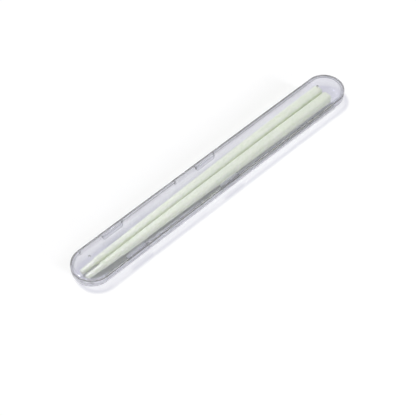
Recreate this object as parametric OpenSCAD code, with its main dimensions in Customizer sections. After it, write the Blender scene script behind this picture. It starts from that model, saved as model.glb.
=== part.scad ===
// A slim clear travel case with a slide-lock lid, holding one pair of chopsticks.
// X runs along the case with the chopstick tips at -X, Y runs across it and Z is up.
// The origin lies under the middle of the closed case. The case is drawn round the pair.

/* [Chopsticks] */
// Length of a chopstick
stick_l = 195; // [165:1:230]
// Width across the flats at the butt
stick_w = 6.5; // [5.2:0.1:8]
// Radius of the rounded edge of the butt's end
butt_r = 1.7; // [0.8:0.1:2.4]
// Squareness of the butt's section, where 2 is round
butt_square = 4; // [2:0.1:6]
// How fast the handle widens behind the neck, where 1 is evenly
taper = 1.6; // [1:0.1:2]
// How soon the handle turns square behind the neck, where 1 is evenly
square_up = 5; // [1:0.5:8]
// Diameter of the round neck behind the gripping tip
neck_d = 4.2; // [3.8:0.1:5]
// How far the collar at the neck stands out
collar_rise = 0.08; // [0.05:0.01:0.2]
// Length of the collar at the neck
collar_l = 0.8; // [0.4:0.1:3]
// Length of the thinner gripping tip
tip_l = 11.5; // [6:0.5:25]
// Diameter at the root of the gripping tip
tip_root_d = 3.5; // [2.8:0.1:3.7]
// Diameter at the end of the gripping tip
tip_end_d = 3; // [2.2:0.1:3.4]
// Radius of the rounded tip edge
tip_round = 0.7; // [0.3:0.1:1]
// Length of the sloping shoulder where the tip starts
shoulder_l = 0.8; // [0.3:0.1:2]

/* [Pair in the case] */
// Gap between the two chopsticks
pair_gap = 0.3; // [0.2:0.1:1]
// How far the pair lies from the case's middle line
pair_y = -0.1; // [-1.8:0.1:1.8]
// How far the pair lies from the case's middle along its length
pair_x = -3.6; // [-4:0.1:4]
// How far one chopstick lies ahead of the other
pair_stagger = 0; // [0:0.1:1]
// Gap under a chopstick lying on the floor
rest_gap = 0.1; // [0.05:0.05:0.3]

/* [Case] */
// Wall thickness of the tray and of the lid's skirt
wall = 1; // [0.8:0.1:1.6]
// Floor thickness of the tray
floor_t = 1; // [0.8:0.1:1.6]
// Free length beyond the chopsticks at each end
end_room = 8; // [6:0.5:12]
// Free width beside the pair on each side
side_room = 4.5; // [3.6:0.1:6]
// Height of the tray's rim above the chopsticks
rim_room = 0.05; // [0:0.05:2]
// Outside radius of the tray's bottom edge
bottom_r = 5; // [2:0.1:5.4]

/* [Lid] */
// Thickness of the lid's plate
plate_t = 1; // [0.8:0.1:1.8]
// Depth of the skirt under the plate
skirt_h = 0.3; // [0.2:0.1:2]
// Outside radius of the lid's top edge
top_r = 1.2; // [0.2:0.1:1.4]
// Gap between the tray's rim and the lid's skirt
rim_gap = 0.1; // [0.05:0.05:0.3]
// Diameter of the two vent holes
vent_d = 1.2; // [0.8:0.1:2]
// Distance of a vent hole from the end of the case
vent_inset = 14; // [12:0.5:30]
// Distance of the vent holes from the case's middle line
vent_y = 4.3; // [0:0.1:6]

/* [Slide lock] */
// How far the tray's rail stands in from the wall
rail_w = 1; // [0.6:0.1:1.2]
// Height of the rail
rail_h = 0.6; // [0.5:0.1:1.6]
// Length of a lid claw
claw_l = 14.5; // [10:0.5:20]
// Thickness of a lid claw
claw_t = 0.6; // [0.5:0.1:1]
// Height of a claw's hook under the rail
hook_h = 2.6; // [1.9:0.1:3]
// Height of the sloping lead-in at the foot of a hook
lead_h = 1; // [0.4:0.1:1.6]
// Radius of a claw's lower corners
claw_round = 1.2; // [0.4:0.1:1.8]
// Running gap round a claw in its rail
claw_gap = 0.15; // [0.1:0.05:0.2]
// Spare length of a notch at each end of a claw
notch_play = 0.5; // [0.3:0.1:1]
// Thickness of the ribs that stop a claw
stop_t = 0.9; // [0.6:0.1:1.5]
// Height of these ribs under the rail
stop_h = 1.6; // [0.8:0.1:2.4]
// Straight wall before the first stop rib at the tip end
first_stop = 0.1; // [0:0.1:6]
// Where the middle claws start, from the case's middle
mid_claw_x = -5.4; // [-12:0.1:20]

/* [Hidden] */
$fn = 64;
eps = 0.02;

// The handle widens from its neck to its butt, and k runs from 0 to 1 along it.
neck_x = tip_l + collar_l / 2;
butt_x = stick_l - butt_r;
widening = (stick_w - neck_d) / 2;
function half_at(k) = neck_d / 2 + widening * (1 - pow(1 - k, taper));

// A chopstick lies on the middle of its handle, so its axis is tilted by this angle.
belly_k = 0.5;
belly_x = neck_x + belly_k * (butt_x - neck_x);
belly_r = half_at(belly_k);
lie_angle = atan(taper * pow(1 - belly_k, taper - 1) * widening / (butt_x - neck_x));
butt_lift = widening * (taper - 1) * pow(1 - belly_k, taper);

// The case follows from the pair that it holds.
case_l = stick_l + 2 * end_room + 2 * wall;
case_w = 2 * stick_w + pair_gap + 2 * side_room + 2 * wall;
tray_h = floor_t + rest_gap + stick_w + butt_lift + rim_room;
lid_z = tray_h + rim_gap;
plate_z = lid_z + skirt_h;
case_h = plate_z + plate_t;
lid_edge_r = min(top_r, case_h - lid_z - eps);
inner_l = case_l - 2 * wall;
inner_w = case_w - 2 * wall;
straight_l = case_l - case_w;

// Rail and claws, measured from the middle line of the case.
rail_z = tray_h - rail_h;
rail_y = inner_w / 2 - rail_w;
claw_out_y = rail_y - claw_gap;
claw_in_y = claw_out_y - claw_t;
hook_out_y = claw_out_y + rail_w - claw_gap;
hook_top_z = rail_z - claw_gap;
hook_foot_z = hook_top_z - hook_h;

// A claw slides by its own length plus the play at both ends of its notch.
slide_l = claw_l + 2 * notch_play;
notch_l = claw_l + 2 * notch_play;
tip_claw_x = -straight_l / 2 + first_stop + stop_t + claw_gap + slide_l;
claw_starts = [tip_claw_x, mid_claw_x];

collar_d = neck_d + 2 * collar_rise;
arc_steps = 6;
loft_steps = 12;
section_points = 32;

case_tint = [0.86, 0.86, 0.90, 0.45];
stick_green = [0.85, 0.90, 0.80];

function arc(x, y, r, from, to) =
    [for (i = [0:arc_steps])
        let (a = from + (to - from) * i / arc_steps)
        [x + r * cos(a), y + r * sin(a)]];

// Half of a section across the case, with its outer bottom corner rounded.
module half_section(half_w, h, r) {
    square([half_w - r, h]);
    translate([0, r]) square([half_w, h - r]);
    translate([half_w - r, r])
        intersection() {
            circle(r);
            translate([0, -r]) square(r);
        }
}

// A solid with straight sides, round ends and a rounded bottom edge.
module round_ended(l, w, h, r) {
    run = l - w;
    rotate([90, 0, 90])
        translate([0, 0, -run / 2])
        linear_extrude(run) {
            half_section(w / 2, h, r);
            mirror([1, 0]) half_section(w / 2, h, r);
        }
    for (turn = [0, 180])
        rotate(turn)
            translate([run / 2, 0, 0])
            rotate(-90)
            rotate_extrude(angle = 180)
            half_section(w / 2, h, r);
}

// A plate with straight sides and round ends.
module round_plate(l, w, h) {
    linear_extrude(h) {
        square([l - w, w], center = true);
        for (side = [-1, 1])
            translate([side * (l - w) / 2, 0]) circle(w / 2);
    }
}

// Places its children at both long walls, seen from the middle line towards +Y.
module both_walls() {
    children();
    mirror([0, 1, 0]) children();
}

// The inward rail under the rim, open where the claws drop in.
module rail() {
    translate([0, 0, rail_z])
        difference() {
            round_plate(inner_l + wall, inner_w + wall, rail_h);
            translate([0, 0, -eps])
                round_plate(inner_l - 2 * rail_w, inner_w - 2 * rail_w, rail_h + 2 * eps);
            both_walls()
                for (x = claw_starts)
                    translate([x - slide_l - notch_play, 0, -eps])
                    cube([notch_l, inner_w / 2, rail_h + 2 * eps]);
        }
}

// Ribs under the rail that stop a claw when the lid is shut and when it is free to lift.
module stop_ribs() {
    both_walls()
        for (x = claw_starts)
            for (face = [x - slide_l - claw_gap - stop_t, x + claw_l + claw_gap])
                translate([face, rail_y, rail_z - stop_h])
                cube([stop_t, rail_w + wall / 2, stop_h + eps]);
}

module tray() {
    color(case_tint)
    intersection() {
        union() {
            difference() {
                round_ended(case_l, case_w, tray_h, bottom_r);
                translate([0, 0, floor_t])
                    round_ended(inner_l, inner_w, tray_h, bottom_r - wall);
            }
            rail();
            stop_ribs();
        }
        round_ended(case_l, case_w, tray_h, bottom_r);
    }
}

// A claw at the +Y wall, from its start at x = 0, with rounded lower corners.
module claw() {
    intersection() {
        rotate([90, 0, 90])
            linear_extrude(claw_l)
            polygon([
                [claw_in_y, plate_z + eps],
                [claw_out_y, plate_z + eps],
                [claw_out_y, hook_top_z],
                [hook_out_y, hook_top_z],
                [hook_out_y, hook_foot_z + lead_h],
                [claw_out_y, hook_foot_z],
                [claw_in_y, hook_foot_z]
            ]);
        translate([0, case_w, 0])
            rotate([90, 0, 0])
            linear_extrude(2 * case_w) {
                translate([0, hook_foot_z + claw_round])
                    square([claw_l, case_h]);
                translate([claw_round, hook_foot_z])
                    square([claw_l - 2 * claw_round, case_h]);
                for (x = [claw_round, claw_l - claw_round])
                    translate([x, hook_foot_z + claw_round]) circle(claw_round);
            }
    }
}

module lid() {
    color(case_tint) {
        difference() {
            translate([0, 0, case_h])
                mirror([0, 0, 1])
                round_ended(case_l, case_w, case_h - lid_z, lid_edge_r);
            translate([0, 0, lid_z - eps])
                round_plate(inner_l, inner_w, skirt_h + eps);
            for (side = [-1, 1])
                translate([side * (case_l / 2 - vent_inset), vent_y, lid_z])
                cylinder(d = vent_d, h = case_h);
        }
        both_walls()
            for (x = claw_starts)
                translate([x, 0, 0]) claw();
    }
}

// A soft square of half width w at x, whose squareness q runs from 2, a circle, upwards.
function section(x, w, q) =
    [for (i = [0:section_points - 1])
        let (c = cos(360 * i / section_points), s = sin(360 * i / section_points))
        [x, w * sign(c) * pow(abs(c), 2 / q), w * sign(s) * pow(abs(s), 2 / q)]];

// A closed solid through sections that follow each other along +X.
module loft(sections) {
    n = section_points;
    last = (len(sections) - 1) * n;
    polyhedron(
        points = [for (ring = sections, point = ring) point],
        faces = concat(
            [[for (i = [0:n - 1]) i]],
            [[for (i = [n - 1:-1:0]) last + i]],
            [for (ring = [0:len(sections) - 2], i = [0:n - 1])
                let (a = ring * n + i, b = ring * n + (i + 1) % n)
                [a, a + n, b]],
            [for (ring = [0:len(sections) - 2], i = [0:n - 1])
                let (a = ring * n + i, b = ring * n + (i + 1) % n)
                [b, a + n, b + n]]));
}

// The handle along X, from the round neck to the soft square butt, with its axis on X.
module handle() {
    loft(concat(
        [for (i = [0:loft_steps])
            let (k = i / loft_steps)
            section(
                neck_x + k * (butt_x - neck_x),
                half_at(k),
                2 + (butt_square - 2) * (1 - pow(1 - k, square_up)))],
        [for (i = [1:arc_steps])
            let (a = 90 * i / arc_steps)
            section(butt_x + butt_r * sin(a), stick_w / 2 - butt_r * (1 - cos(a)), butt_square)]));
}

// The turned gripping tip, its shoulder and its collar, from the origin along X.
module grip_tip() {
    rotate([0, 90, 0])
        rotate_extrude()
        polygon(concat(
            [[0, 0]],
            arc(tip_end_d / 2 - tip_round, tip_round, tip_round, -90, 0),
            [
                [tip_root_d / 2, tip_l - shoulder_l],
                [collar_d / 2, tip_l],
                [collar_d / 2, tip_l + collar_l],
                [0, tip_l + collar_l]
            ]));
}

// A chopstick lying on the floor, with its inner side at the pair's middle.
module laid_chopstick(ahead) {
    color(stick_green)
    translate([
        pair_x + ahead + belly_x - stick_l / 2,
        pair_gap / 2 + belly_r,
        floor_t + rest_gap + belly_r
    ])
        rotate([0, -lie_angle, lie_angle])
        translate([-belly_x, 0, 0]) {
            handle();
            grip_tip();
        }
}

module chopstick_far() {
    translate([0, pair_y, 0]) laid_chopstick(pair_stagger / 2);
}

module chopstick_near() {
    translate([0, pair_y, 0]) mirror([0, 1, 0]) laid_chopstick(-pair_stagger / 2);
}

tray();
lid();
chopstick_far();
chopstick_near();
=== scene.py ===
import collections
import math

import bmesh
import bpy
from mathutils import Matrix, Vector


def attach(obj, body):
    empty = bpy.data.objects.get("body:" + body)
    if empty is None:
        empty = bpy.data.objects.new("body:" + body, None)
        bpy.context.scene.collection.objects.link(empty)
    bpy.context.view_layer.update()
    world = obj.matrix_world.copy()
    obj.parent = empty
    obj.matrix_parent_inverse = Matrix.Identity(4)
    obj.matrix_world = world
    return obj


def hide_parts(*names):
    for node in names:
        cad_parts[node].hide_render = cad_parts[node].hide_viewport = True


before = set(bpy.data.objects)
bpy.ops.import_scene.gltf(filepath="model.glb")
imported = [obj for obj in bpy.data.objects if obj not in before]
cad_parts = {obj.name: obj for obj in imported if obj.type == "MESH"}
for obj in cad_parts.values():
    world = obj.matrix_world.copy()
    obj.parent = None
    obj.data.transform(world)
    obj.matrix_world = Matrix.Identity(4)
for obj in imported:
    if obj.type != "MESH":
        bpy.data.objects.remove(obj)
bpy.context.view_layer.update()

# A slim clear case with round ends and a sliding lid, closed, and a pair of chopsticks inside it.

scene = bpy.context.scene
scene.view_settings.view_transform = "Standard"
MM = 0.001

# Sizes in millimetres, as in the part's source: a chopstick.
STICK_L = 195.0
STICK_W = 6.5
BUTT_R = 1.7
BUTT_SQUARE = 4.0
TAPER = 1.6
SQUARE_UP = 5.0
NECK_D = 4.2
COLLAR_RISE = 0.08
COLLAR_L = 0.8
TIP_L = 11.5
TIP_ROOT_D = 3.5
TIP_END_D = 3.0
TIP_ROUND = 0.7
SHOULDER_L = 0.8

# The place of the pair in the case.
PAIR_GAP = 0.3
PAIR_X = -3.6
PAIR_Y = -0.1
REST_GAP = 0.1

# The tray.
WALL = 1.0
FLOOR_T = 1.0
END_ROOM = 8.0
SIDE_ROOM = 4.5
RIM_ROOM = 0.05
BOTTOM_R = 5.0

# The lid.
PLATE_T = 1.0
SKIRT_H = 0.3
TOP_R = 1.2
RIM_GAP = 0.1
VENT_D = 1.2
VENT_INSET = 14.0
VENT_Y = 4.3

# The slide lock: rail, claws, notches and stop ribs.
RAIL_W = 1.0
RAIL_H = 0.6
CLAW_L = 14.5
CLAW_T = 0.6
HOOK_H = 2.6
LEAD_H = 1.0
CLAW_ROUND = 1.2
CLAW_GAP = 0.15
NOTCH_PLAY = 0.5
STOP_T = 0.9
STOP_H = 1.6
FIRST_STOP = 0.1
MID_CLAW_X = -5.4

# A chopstick's handle runs from its neck to its butt. It lies on its middle, with its axis tilted.
# A round section has a squareness of 2.
ROUND = 2.0
COLLAR_D = NECK_D + 2 * COLLAR_RISE
NECK_X = TIP_L + COLLAR_L / 2
BUTT_X = STICK_L - BUTT_R
HANDLE_L = BUTT_X - NECK_X
WIDENING = (STICK_W - NECK_D) / 2
BELLY_K = 0.5
BELLY_X = NECK_X + BELLY_K * HANDLE_L
BELLY_R = NECK_D / 2 + WIDENING * (1 - (1 - BELLY_K) ** TAPER)
LIE_ANGLE = math.atan(TAPER * (1 - BELLY_K) ** (TAPER - 1) * WIDENING / HANDLE_L)
BUTT_LIFT = WIDENING * (TAPER - 1) * (1 - BELLY_K) ** TAPER

# The case round the pair, and its heights.
CASE_L = STICK_L + 2 * END_ROOM + 2 * WALL
CASE_W = 2 * STICK_W + PAIR_GAP + 2 * SIDE_ROOM + 2 * WALL
END_R = CASE_W / 2
HALF_RUN = CASE_L / 2 - END_R
RIM_Z = FLOOR_T + REST_GAP + STICK_W + BUTT_LIFT + RIM_ROOM
LID_Z = RIM_Z + RIM_GAP
PLATE_Z = LID_Z + SKIRT_H
CASE_H = PLATE_Z + PLATE_T
VENT_X = CASE_L / 2 - VENT_INSET

# The claws and what they run in. A claw's span starts at its end towards the tips.
RAIL_Z = RIM_Z - RAIL_H
CLAW_OUT_Y = END_R - WALL - RAIL_W - CLAW_GAP
CLAW_IN_Y = CLAW_OUT_Y - CLAW_T
HOOK_OUT_Y = CLAW_OUT_Y + RAIL_W - CLAW_GAP
HOOK_TOP_Z = RAIL_Z - CLAW_GAP
HOOK_FOOT_Z = HOOK_TOP_Z - HOOK_H
SLIDE_L = CLAW_L + 2 * NOTCH_PLAY
TIP_CLAW_X = -HALF_RUN + FIRST_STOP + STOP_T + CLAW_GAP + SLIDE_L
CLAW_STARTS = (TIP_CLAW_X, MID_CLAW_X)
NOTCHES = [(x - SLIDE_L - NOTCH_PLAY, x - NOTCH_PLAY + CLAW_GAP) for x in CLAW_STARTS]
RIBS = [(x - SLIDE_L - CLAW_GAP - STOP_T, x - SLIDE_L - CLAW_GAP) for x in CLAW_STARTS]
RIBS += [(x + CLAW_L + CLAW_GAP, x + CLAW_L + CLAW_GAP + STOP_T) for x in CLAW_STARTS]

# Small edge radii of the mouldings, which the source leaves sharp.
EDGE_R = 0.09
INNER_R = 0.15
RAIL_R = 0.28
RIM_R = 0.35
CLAW_EDGE = 0.07
VENT_FLARE = 3 * EDGE_R
VENT_REACH = 2 * EDGE_R

# The softened steps of a chopstick: (distance along it, change of radius) before and after each step.
SHOULDER_EASE = ((-0.15, -0.01), (0.1, 0.03))
COLLAR_EASE = ((-0.12, -0.05), (0.06, 0.0))
NECK_EASE = ((-0.1, 0.0), (0.05, -0.07))

# Lengths of the meshes alone: the distance between sections, half of the slope where a section changes,
# where a shell's flat caps start, how deep a claw reaches into the plate, and least distances.
SIDE_STEP = 10.0
BREAK_HALF = 0.06
CAP_INSET = 6.0
CLAW_SINK = 0.15
LEAST_LEAD = 0.01
MERGE = 0.0005

# How finely the meshes are divided, and the angles above which their edges stay sharp.
END_STEPS = 48
ARC_STEPS = 12
TOP_STEPS = 8
EDGE_STEPS = 4
BEVEL_STEPS = 2
CLAW_STEPS = 6
VENT_SIDES = 32
STICK_SIDES = 64
TIP_STEPS = 6
HANDLE_STEPS = 60
BUTT_STEPS = 10
SHELL_SHARP = 35
STICK_SHARP = 50

# Looks. Colours are linear, noise scales are in cells per metre, and lengths are in metres. A turn is a pair
# of limits on how far a surface faces away, from 0 to 1, and a roughness pair runs over a noise.
WHITE = (1.0, 1.0, 1.0)
NOISE_LOW = 0.3
NOISE_HIGH = 0.7
CLEAR_IOR = 1.54
CLEAR_ROUGH = (0.015, 0.05)
# Where the painted shade on clear plastic's edges sets in and where it is full.
PAINTED_EDGE_SHADE_TURN = (0.36, 0.95)
SHADOW_TURN = (0.35, 0.9)
WALL_SHADOW = (0.85, 0.85, 0.88)
STRAIGHT_SHARE = 0.05
TINT_SCALE = 60.0
POLISH_SCALE = 500.0
WAVE_SCALE = 120.0
WAVE_BUMP = 0.1
MOTTLE_DARK = (0.73, 0.815, 0.61)
MOTTLE_LIGHT = (0.90, 0.955, 0.79)
MOTTLE_SCALE = 900.0
STICK_ROUGH = (0.5, 0.38)
SCATTER_RADIUS = (1.0, 1.0, 0.9)
SCATTER_SCALE = 0.005
GRAIN_SCALE = 2500.0
GRAIN_BUMP = 0.25
BUMP_HEIGHT = 0.00005

# The floor, in metres. It lies a little lower than the case, so that the two faces don't coincide.
FLOOR_HALF = 4.0
FLOOR_DROP = 0.0002
FLOOR_DARK = (0.97, 0.97, 0.97)
FLOOR_LIGHT = (0.99, 0.99, 0.99)
FLOOR_SCALE = 3.0
FLOOR_ROUGH = 0.9
FLOOR_SHINE = 0.1

# The surroundings: each pair of limits is a share of a direction, from 0, across it, to 1, along it.
HORIZON = (0.15, 0.15, 0.15)
ZENITH = (0.06, 0.06, 0.06)
DOME_LIMITS = (0.0, 0.4)
HALF_GREY = (0.5, 0.5, 0.5)
BRIGHT_SIDE = (45.0, 45.0)
BRIGHT_LIMITS = (0.2, 0.6)
PATCH_GREY = (0.02, 0.02, 0.02)
PATCH_SIDE = (310.0, 50.0)
PATCH_LIMITS = (0.85, 0.93)
SKY_STRENGTH = 1.0

# The camera: degrees, metres, and the scale of the picture at the camera's distance.
VIEW_HEADING = 45.46
VIEW_DROP = 50.94
VIEW_DISTANCE = 0.7685
AIM_RIGHT = -0.00392
AIM_UP = -0.01592
PIXELS_PER_METRE = 1713.0
PICTURE_SIDE = 416
SENSOR = 36.0

# Socket numbers of a Mix node for colours.
MIX_FACTOR = 0
MIX_FIRST = 6
MIX_SECOND = 7
MIX_RESULT = 2


# Meshes. A place round the case has an outline point, the way inwards, and x where a side is straight.

Place = collections.namedtuple("Place", "x y inward_x inward_y along")


def add_object(name, mesh, node, material, sharp_angle):
    """Links a mesh as the piece that stands for a node, which is also a body of its own."""
    obj = bpy.data.objects.new(name, mesh)
    scene.collection.objects.link(obj)
    mesh.materials.append(material)
    mesh.shade_smooth()
    mesh.set_sharp_from_angle(angle=math.radians(sharp_angle))
    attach(obj, node)
    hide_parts(node)


def tube(name, rings):
    """A closed mesh through rings of points in millimetres, with a face over the first and last ring."""
    sides = len(rings[0])
    faces = []
    for i in range(len(rings) - 1):
        a, b = i * sides, (i + 1) * sides
        faces += [(a + j, b + j, b + (j + 1) % sides, a + (j + 1) % sides) for j in range(sides)]
    last = (len(rings) - 1) * sides
    faces.append(list(range(sides)))
    faces.append(list(range(last, last + sides)))
    mesh = bpy.data.meshes.new(name)
    mesh.from_pydata([(x * MM, y * MM, z * MM) for ring in rings for x, y, z in ring], [], faces)
    form = bmesh.new()
    form.from_mesh(mesh)
    bmesh.ops.remove_doubles(form, verts=form.verts, dist=MERGE * MM)
    bmesh.ops.recalc_face_normals(form, faces=form.faces)
    form.to_mesh(mesh)
    form.free()
    return mesh


def arc(x, z, r, start, end, steps):
    """Points on a circle about (x, z), from start to end in degrees."""
    angles = [math.radians(start + (end - start) * i / steps) for i in range(steps + 1)]
    return [(x + r * math.cos(a), z + r * math.sin(a)) for a in angles]


def places_round(breaks):
    """Places round the case, with two close together at each break of a straight side."""
    count = int(HALF_RUN // SIDE_STEP)
    xs = {-HALF_RUN, HALF_RUN}
    xs.update(SIDE_STEP * i for i in range(-count, count + 1))
    for x in breaks:
        xs.update((x - BREAK_HALF, x + BREAK_HALF))
    straight = sorted(xs)
    turn = [math.radians(90 + 180 * i / END_STEPS) for i in range(1, END_STEPS)]
    ways = [(math.cos(a), math.sin(a)) for a in turn]
    places = [Place(x, END_R, 0.0, -1.0, x) for x in reversed(straight)]
    places += [Place(-HALF_RUN + END_R * c, END_R * s, -c, -s, None) for c, s in ways]
    places += [Place(x, -END_R, 0.0, 1.0, x) for x in straight]
    places += [Place(HALF_RUN - END_R * c, -END_R * s, c, s, None) for c, s in ways]
    return places


def shell(name, places, sections):
    """A shell with a section at each place, as (inset, height) points from one cap to the other."""
    rings = []
    for row in zip(*sections):
        ring = [(p.x + p.inward_x * d, p.y + p.inward_y * d, z) for p, (d, z) in zip(places, row)]
        rings.append(ring)
    return tube(name, rings)


def within(along, spans):
    """Whether a place lies on a straight side and in one of the spans."""
    return along is not None and any(start < along < end for start, end in spans)


def tray_section(along):
    """The tray's section: out along its underside, up, over the rim, round the rail and over the floor."""
    rail = 0.0 if within(along, NOTCHES) else RAIL_W
    rib = RAIL_W if within(along, RIBS) else 0.0
    lip = WALL + rail
    face = WALL + rib
    under_r = min(RAIL_R, max(rail - rib, 0.0) / 2)
    bend = BOTTOM_R - WALL
    section = [(CAP_INSET, 0.0)]
    section += arc(BOTTOM_R, BOTTOM_R, BOTTOM_R, 270, 180, ARC_STEPS)
    section += arc(RIM_R, RIM_Z - RIM_R, RIM_R, 180, 90, EDGE_STEPS)
    section += arc(lip - RAIL_R, RIM_Z - RAIL_R, RAIL_R, 90, 0, EDGE_STEPS)
    section += arc(lip - under_r, RAIL_Z + under_r, under_r, 0, -90, EDGE_STEPS)
    section += [(face, RAIL_Z), (face, RAIL_Z - STOP_H), (WALL, RAIL_Z - STOP_H)]
    section += arc(WALL + bend, FLOOR_T + bend, bend, 180, 270, ARC_STEPS)
    section += [(CAP_INSET, FLOOR_T)]
    return section


def lid_section():
    """The lid's section: out along its top, down the skirt and back along its underside."""
    section = [(CAP_INSET, CASE_H)]
    section += arc(TOP_R, CASE_H - TOP_R, TOP_R, 90, 180, TOP_STEPS)
    section += arc(EDGE_R, LID_Z + EDGE_R, EDGE_R, 180, 270, EDGE_STEPS)
    section += arc(WALL - EDGE_R, LID_Z + EDGE_R, EDGE_R, 270, 360, EDGE_STEPS)
    section += arc(WALL + INNER_R, PLATE_Z - INNER_R, INNER_R, 180, 90, EDGE_STEPS)
    section += [(CAP_INSET, PLATE_Z)]
    return section


def claw_mesh(start, side):
    """A hook claw that hangs from the lid's plate, with rounded lower corners and softened edges."""
    corner = arc(CLAW_ROUND, CLAW_ROUND, CLAW_ROUND, 180, 270, CLAW_STEPS)
    rings = []
    for along, lift in corner + [(CLAW_L - along, lift) for along, lift in reversed(corner)]:
        foot = HOOK_FOOT_Z + lift
        toe_y = CLAW_OUT_Y + min(lift / LEAD_H, 1.0) * (HOOK_OUT_Y - CLAW_OUT_Y)
        section = [
            (CLAW_IN_Y, PLATE_Z + CLAW_SINK),
            (CLAW_OUT_Y, PLATE_Z + CLAW_SINK),
            (CLAW_OUT_Y, HOOK_TOP_Z),
            (HOOK_OUT_Y, HOOK_TOP_Z),
            (HOOK_OUT_Y, max(HOOK_FOOT_Z + LEAD_H, foot + LEAST_LEAD)),
            (toe_y, foot),
            (CLAW_IN_Y, foot),
        ]
        rings.append([(start + along, side * y, z) for y, z in section])
    mesh = tube("claw", rings)
    form = bmesh.new()
    form.from_mesh(mesh)
    sharp = [edge for edge in form.edges if edge.calc_face_angle(0.0) > math.radians(SHELL_SHARP)]
    bmesh.ops.bevel(
        form,
        geom=sharp,
        offset=CLAW_EDGE * MM,
        segments=BEVEL_STEPS,
        affect="EDGES",
        clamp_overlap=True,
    )
    form.to_mesh(mesh)
    form.free()
    return mesh


def vent_mesh(x):
    """The cutter of a vent hole, wider at both faces of the plate so that its edges are eased."""
    r = VENT_D / 2
    outline = [
        (r + VENT_FLARE, PLATE_Z - VENT_REACH),
        (r, PLATE_Z + EDGE_R),
        (r, CASE_H - EDGE_R),
        (r + VENT_FLARE, CASE_H + VENT_REACH),
    ]
    turn = [2 * math.pi * i / VENT_SIDES for i in range(VENT_SIDES)]
    rings = [[(x + d * math.cos(a), VENT_Y + d * math.sin(a), z) for a in turn] for d, z in outline]
    return tube("vent", rings)


def combined(name, mesh, tools):
    """The mesh with each tool, as (mesh, operation), joined to it or cut from it."""
    obj = bpy.data.objects.new("work", mesh)
    scene.collection.objects.link(obj)
    helpers = []
    for tool, operation in tools:
        helper = bpy.data.objects.new("tool", tool)
        scene.collection.objects.link(helper)
        helpers.append(helper)
        modifier = obj.modifiers.new("boolean", "BOOLEAN")
        modifier.operation = operation
        modifier.solver = "EXACT"
        modifier.object = helper
    shaped = obj.evaluated_get(bpy.context.evaluated_depsgraph_get())
    result = bpy.data.meshes.new_from_object(shaped)
    for item in helpers + [obj]:
        data = item.data
        bpy.data.objects.remove(item)
        bpy.data.meshes.remove(data)
    result.name = name
    return result


def soft_square(half, q):
    """A soft square of a half width, whose squareness q runs from 2, a circle, upwards."""
    ring = []
    for i in range(STICK_SIDES):
        a = 2 * math.pi * i / STICK_SIDES
        c, s = math.cos(a), math.sin(a)
        across = math.copysign(half * abs(c) ** (2 / q), c)
        up = math.copysign(half * abs(s) ** (2 / q), s)
        ring.append((across, up))
    return ring


def stick_sections():
    """A chopstick's sections as (place along it, half width, squareness), from its tip to its butt."""
    tip = arc(TIP_END_D / 2 - TIP_ROUND, TIP_ROUND, TIP_ROUND, -90, 0, TIP_STEPS)
    sections = [(along, r, ROUND) for r, along in tip]
    steps = (
        (TIP_L - SHOULDER_L, TIP_ROOT_D / 2, SHOULDER_EASE),
        (TIP_L, COLLAR_D / 2, COLLAR_EASE),
        (TIP_L + COLLAR_L, COLLAR_D / 2, NECK_EASE),
    )
    for place, r, ease in steps:
        sections += [(place + ahead, r + rise, ROUND) for ahead, rise in ease]
    for i in range(1, HANDLE_STEPS + 1):
        k = i / HANDLE_STEPS
        half = NECK_D / 2 + WIDENING * (1 - (1 - k) ** TAPER)
        square = ROUND + (BUTT_SQUARE - ROUND) * (1 - (1 - k) ** SQUARE_UP)
        sections.append((NECK_X + k * HANDLE_L, half, square))
    butt = arc(STICK_W / 2 - BUTT_R, BUTT_X, BUTT_R, 0, 90, BUTT_STEPS)[1:]
    return sections + [(along, half, BUTT_SQUARE) for half, along in butt]


def stick_mesh(name, side):
    """A chopstick that lies on the floor on its middle and beside the pair's middle line."""
    c, s = math.cos(LIE_ANGLE), math.sin(LIE_ANGLE)
    rings = []
    for along, half, q in stick_sections():
        ring = []
        for y, z in soft_square(half, q):
            x = along - BELLY_X
            x, z = x * c - z * s, x * s + z * c
            x, y = x * c - y * s, x * s + y * c
            ring.append((
                PAIR_X + BELLY_X - STICK_L / 2 + x,
                PAIR_Y + side * (PAIR_GAP / 2 + BELLY_R + y),
                FLOOR_T + REST_GAP + BELLY_R + z,
            ))
        rings.append(ring)
    return tube(name, rings)


# Node helpers. A value given to one of them is a socket, or a plain number or colour.

def feed(tree, value, socket):
    """Links a value to a socket, or sets it there."""
    if isinstance(value, bpy.types.NodeSocket):
        tree.links.new(value, socket)
    else:
        socket.default_value = value


def new_material(name):
    """A node material; returns it, its tree and its Principled shader."""
    material = bpy.data.materials.new(name)
    material.use_nodes = True
    return material, material.node_tree, material.node_tree.nodes["Principled BSDF"]


def noise(tree, scale, detail=2.0, stretch=(1.0, 1.0, 1.0)):
    """A noise texture in object space."""
    place = tree.nodes.new("ShaderNodeTexCoord")
    mapping = tree.nodes.new("ShaderNodeMapping")
    mapping.inputs["Scale"].default_value = stretch
    texture = tree.nodes.new("ShaderNodeTexNoise")
    texture.inputs["Scale"].default_value = scale
    texture.inputs["Detail"].default_value = detail
    tree.links.new(place.outputs["Object"], mapping.inputs["Vector"])
    tree.links.new(mapping.outputs["Vector"], texture.inputs["Vector"])
    return texture.outputs["Fac"]


def ramp(tree, source, low, high, limits=(NOISE_LOW, NOISE_HIGH)):
    """A colour that runs from low to high as source runs between its limits."""
    node = tree.nodes.new("ShaderNodeValToRGB")
    for element, place, colour in zip(node.color_ramp.elements, limits, (low, high)):
        element.position = place
        element.color = (*colour, 1.0)
    tree.links.new(source, node.inputs["Fac"])
    return node.outputs["Color"]


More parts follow.
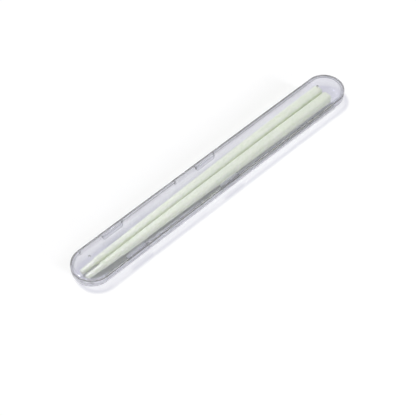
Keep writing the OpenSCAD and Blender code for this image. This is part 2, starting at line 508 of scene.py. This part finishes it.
def spread(tree, source, ends):
    """A value that runs from one end to the other as source runs over the middle of a noise."""
    node = tree.nodes.new("ShaderNodeMapRange")
    node.inputs["From Min"].default_value = NOISE_LOW
    node.inputs["From Max"].default_value = NOISE_HIGH
    node.inputs["To Min"].default_value = ends[0]
    node.inputs["To Max"].default_value = ends[1]
    tree.links.new(source, node.inputs["Value"])
    return node.outputs["Result"]


def bump(tree, shader, source, strength):
    """A fine relief on a shader's surface."""
    node = tree.nodes.new("ShaderNodeBump")
    node.inputs["Strength"].default_value = strength
    node.inputs["Distance"].default_value = BUMP_HEIGHT
    tree.links.new(source, node.inputs["Height"])
    tree.links.new(node.outputs["Normal"], shader.inputs["Normal"])


def larger(tree, first, second):
    """The larger of two values."""
    node = tree.nodes.new("ShaderNodeMath")
    node.operation = "MAXIMUM"
    feed(tree, first, node.inputs[0])
    feed(tree, second, node.inputs[1])
    return node.outputs["Value"]


def mixed(tree, factor, first, second, blend="MIX"):
    """Two colours mixed by a factor."""
    node = tree.nodes.new("ShaderNodeMix")
    node.data_type = "RGBA"
    node.blend_type = blend
    feed(tree, factor, node.inputs[MIX_FACTOR])
    feed(tree, first, node.inputs[MIX_FIRST])
    feed(tree, second, node.inputs[MIX_SECOND])
    return node.outputs[MIX_RESULT]


def clear_plastic(name, thin, thick, light, rim):
    """Clear moulded plastic with a faint violet-grey tint, which varies a little, and painted shade that
    darkens it edge-on.

    Lamps and scattered light pass straight through it, so that what lies inside is lit, and so does a
    small share of all other light.
    """
    material, tree, shader = new_material(name)
    shader.inputs["Transmission Weight"].default_value = 1.0
    shader.inputs["IOR"].default_value = CLEAR_IOR
    facing = tree.nodes.new("ShaderNodeLayerWeight").outputs["Facing"]
    tint = ramp(tree, noise(tree, TINT_SCALE), thick, thin)
    # Painted shade: the colour darkens towards rim as the surface turns edge-on to the view.
    edge = ramp(tree, facing, WHITE, rim, PAINTED_EDGE_SHADE_TURN)
    tree.links.new(mixed(tree, 1.0, tint, edge, "MULTIPLY"), shader.inputs["Base Color"])
    polish = noise(tree, POLISH_SCALE, detail=4.0, stretch=(0.2, 1.0, 1.0))
    tree.links.new(spread(tree, polish, CLEAR_ROUGH), shader.inputs["Roughness"])
    bump(tree, shader, noise(tree, WAVE_SCALE, detail=1.0), WAVE_BUMP)
    path = tree.nodes.new("ShaderNodeLightPath").outputs
    lighting = larger(tree, path["Is Shadow Ray"], path["Is Diffuse Ray"])
    passing = tree.nodes.new("ShaderNodeBsdfTransparent")
    tree.links.new(ramp(tree, facing, light, WALL_SHADOW, SHADOW_TURN), passing.inputs["Color"])
    either = tree.nodes.new("ShaderNodeMixShader")
    tree.links.new(larger(tree, lighting, STRAIGHT_SHARE), either.inputs["Fac"])
    tree.links.new(shader.outputs["BSDF"], either.inputs[1])
    tree.links.new(passing.outputs["BSDF"], either.inputs[2])
    tree.links.new(either.outputs["Shader"], tree.nodes["Material Output"].inputs["Surface"])
    return material


def stick_plastic(name):
    """Pale green satin plastic with a fine mottle, which lets light into it."""
    material, tree, shader = new_material(name)
    mottle = noise(tree, MOTTLE_SCALE, detail=4.0, stretch=(0.6, 1.0, 1.0))
    tree.links.new(ramp(tree, mottle, MOTTLE_DARK, MOTTLE_LIGHT), shader.inputs["Base Color"])
    tree.links.new(spread(tree, mottle, STICK_ROUGH), shader.inputs["Roughness"])
    shader.inputs["Subsurface Weight"].default_value = 1.0
    shader.inputs["Subsurface Radius"].default_value = SCATTER_RADIUS
    shader.inputs["Subsurface Scale"].default_value = SCATTER_SCALE
    bump(tree, shader, noise(tree, GRAIN_SCALE, detail=3.0), GRAIN_BUMP)
    return material


# The pieces.

def tray():
    """The tray, with its rail, notches and stop ribs."""
    places = places_round([x for span in NOTCHES + RIBS for x in span])
    mesh = shell("tray_shell", places, [tray_section(place.along) for place in places])
    material = clear_plastic(
        "clear_tray_plastic",
        thin=(0.90, 0.90, 0.935),
        thick=(0.87, 0.87, 0.91),
        light=(0.93, 0.93, 0.95),
        # rim is the colour of the painted shade on the tray's edges, nearly black edge-on.
        rim=(0.1, 0.1, 0.13),
    )
    add_object("tray_shell", mesh, "tray", material, SHELL_SHARP)


def lid():
    """The lid, with its claws and vent holes."""
    places = places_round([])
    plate = shell("plate", places, [lid_section()] * len(places))
    claws = [(claw_mesh(x, side), "UNION") for x in CLAW_STARTS for side in (-1, 1)]
    vents = [(vent_mesh(x), "DIFFERENCE") for x in (-VENT_X, VENT_X)]
    mesh = combined("lid_shell", plate, claws + vents)
    material = clear_plastic(
        "clear_lid_plastic",
        thin=(0.88, 0.88, 0.915),
        thick=(0.85, 0.85, 0.89),
        light=(0.96, 0.96, 0.97),
        # rim is the colour of the painted shade on the lid's edges.
        rim=(0.7, 0.7, 0.75),
    )
    add_object("lid_shell", mesh, "lid", material, SHELL_SHARP)


def chopsticks():
    """The two chopsticks, which share a material."""
    material = stick_plastic("pale_green_stick_plastic")
    for side, label in ((1, "far"), (-1, "near")):
        name = "stick_" + label
        mesh = stick_mesh(name, side)
        add_object(name, mesh, "chopstick_" + label, material, STICK_SHARP)


# Floor, light and camera.

def floor():
    """A plain pale floor."""
    mesh = bpy.data.meshes.new("floor")
    corners = [(x * FLOOR_HALF, y * FLOOR_HALF, 0.0) for x, y in ((-1, -1), (1, -1), (1, 1), (-1, 1))]
    mesh.from_pydata(corners, [], [(0, 1, 2, 3)])
    obj = bpy.data.objects.new("floor", mesh)
    scene.collection.objects.link(obj)
    obj.location.z = -FLOOR_DROP
    material, tree, shader = new_material("pale_floor")
    colour = ramp(tree, noise(tree, FLOOR_SCALE), FLOOR_DARK, FLOOR_LIGHT)
    tree.links.new(colour, shader.inputs["Base Color"])
    shader.inputs["Roughness"].default_value = FLOOR_ROUGH
    shader.inputs["Specular IOR Level"].default_value = FLOOR_SHINE
    mesh.materials.append(material)


def direction(azimuth, elevation):
    """The way to an azimuth, counted from +X towards +Y, and an elevation, in degrees."""
    a, e = math.radians(azimuth), math.radians(elevation)
    return Vector((math.cos(a) * math.cos(e), math.sin(a) * math.cos(e), math.sin(e)))


def sun(name, azimuth, elevation, strength, spread_angle):
    """A soft distant lamp that shines from an azimuth and elevation, in degrees."""
    lamp = bpy.data.lights.new(name, "SUN")
    lamp.energy = strength
    lamp.angle = math.radians(spread_angle)
    obj = bpy.data.objects.new(name, lamp)
    scene.collection.objects.link(obj)
    obj.rotation_mode = "QUATERNION"
    obj.rotation_quaternion = direction(azimuth, elevation).to_track_quat("Z", "Y")


def share_along(tree, way):
    """How far a direction in the surroundings runs along a way, from -1 to 1."""
    node = tree.nodes.new("ShaderNodeVectorMath")
    node.operation = "DOT_PRODUCT"
    node.inputs[1].default_value = way
    tree.links.new(tree.nodes.new("ShaderNodeTexCoord").outputs["Generated"], node.inputs[0])
    return node.outputs["Value"]


def surroundings():
    """A dim soft dome, which lights the scene.

    The camera sees white past the floor. Clear plastic sees a white far side, half-grey elsewhere and
    one small dark patch, which draws its edges.
    """
    scene.world = bpy.data.worlds.new("studio")
    scene.world.use_nodes = True
    tree = scene.world.node_tree
    dome = ramp(tree, share_along(tree, direction(0, 90)), HORIZON, ZENITH, DOME_LIMITS)
    sides = ramp(tree, share_along(tree, direction(*BRIGHT_SIDE)), HALF_GREY, WHITE, BRIGHT_LIMITS)
    patch = ramp(tree, share_along(tree, direction(*PATCH_SIDE)), WHITE, PATCH_GREY, PATCH_LIMITS)
    studio = mixed(tree, 1.0, sides, patch, "MULTIPLY")
    path = tree.nodes.new("ShaderNodeLightPath").outputs
    clear = larger(tree, path["Is Glossy Ray"], path["Is Transmission Ray"])
    seen = mixed(tree, path["Is Camera Ray"], mixed(tree, clear, dome, studio), (*WHITE, 1.0))
    shader = tree.nodes["Background"]
    tree.links.new(seen, shader.inputs["Color"])
    shader.inputs["Strength"].default_value = SKY_STRENGTH


def camera():
    """The photograph's camera, fitted to the outline of the case in a square picture."""
    ahead = direction(VIEW_HEADING, -VIEW_DROP)
    right = direction(VIEW_HEADING - 90, 0)
    up = right.cross(ahead)
    data = bpy.data.cameras.new("camera")
    data.sensor_width = SENSOR
    data.lens = PIXELS_PER_METRE * VIEW_DISTANCE / PICTURE_SIDE * SENSOR
    obj = bpy.data.objects.new("camera", data)
    scene.collection.objects.link(obj)
    obj.location = AIM_RIGHT * right + AIM_UP * up - VIEW_DISTANCE * ahead
    obj.rotation_mode = "QUATERNION"
    obj.rotation_quaternion = ahead.to_track_quat("-Z", "Y")
    scene.camera = obj


tray()
lid()
chopsticks()
floor()
sun("key", azimuth=100, elevation=64, strength=3.1, spread_angle=10)
sun("fill", azimuth=285, elevation=15, strength=1.2, spread_angle=10)
surroundings()
camera()
